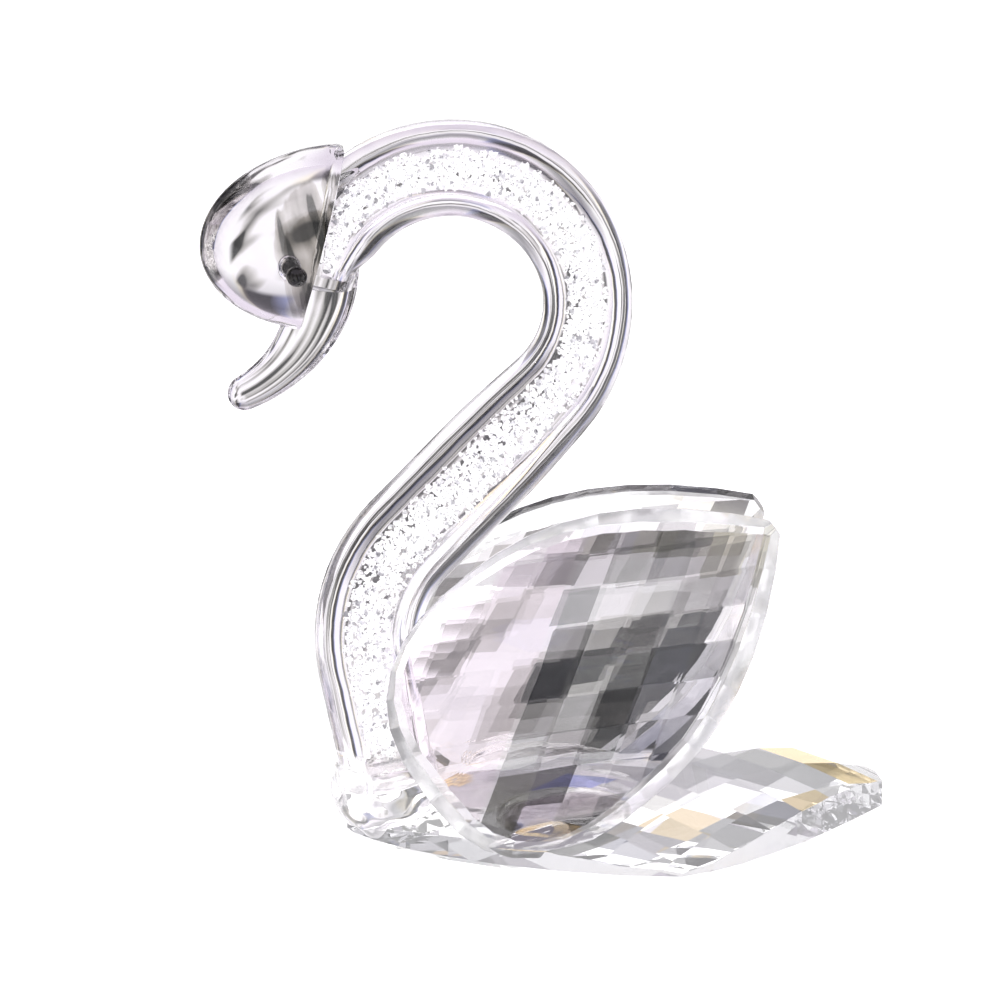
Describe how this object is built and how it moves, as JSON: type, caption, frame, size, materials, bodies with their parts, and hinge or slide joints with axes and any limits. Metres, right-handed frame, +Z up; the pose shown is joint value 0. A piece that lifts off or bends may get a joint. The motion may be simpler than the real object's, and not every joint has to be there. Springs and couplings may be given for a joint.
{
  "type": "crystal swan figurine",
  "caption": "Free-standing swan ornament: faceted crystal wings and tail, clear glass neck bent into a hook and filled with crystal chips, glass head with a hooked beak.",
  "frame": {"origin": "on the base crystal's flat underside, in the swan's upright middle plane, half way along the base", "axes": "+Z up, -X towards the head, +X towards the tail, -Y the swan's left side"},
  "size_m": [0.0942, 0.0505, 0.0993],
  "materials": {
    "cut_crystal": "clear lead-free crystal, flat polished facets",
    "clear_glass": "clear, fire-polished",
    "crushed_crystal": "loose crushed crystal chips, sparkling",
    "clear_resin": "clear glossy adhesive",
    "jet_glass": "black, glossy"
  },
  "bodies": {
    "root": {"base_crystal": "cut_crystal", "left_wing": "cut_crystal", "right_wing": "cut_crystal", "neck_tube": "clear_glass", "crystal_chips": "crushed_crystal", "neck_stopper": "clear_resin", "head": "clear_glass", "beak": "clear_glass", "left_eye": "jet_glass", "right_eye": "jet_glass", "neck_foot": "clear_glass", "left_wing_glue": "clear_resin", "right_wing_glue": "clear_resin"}
  },
  "joints": []
}
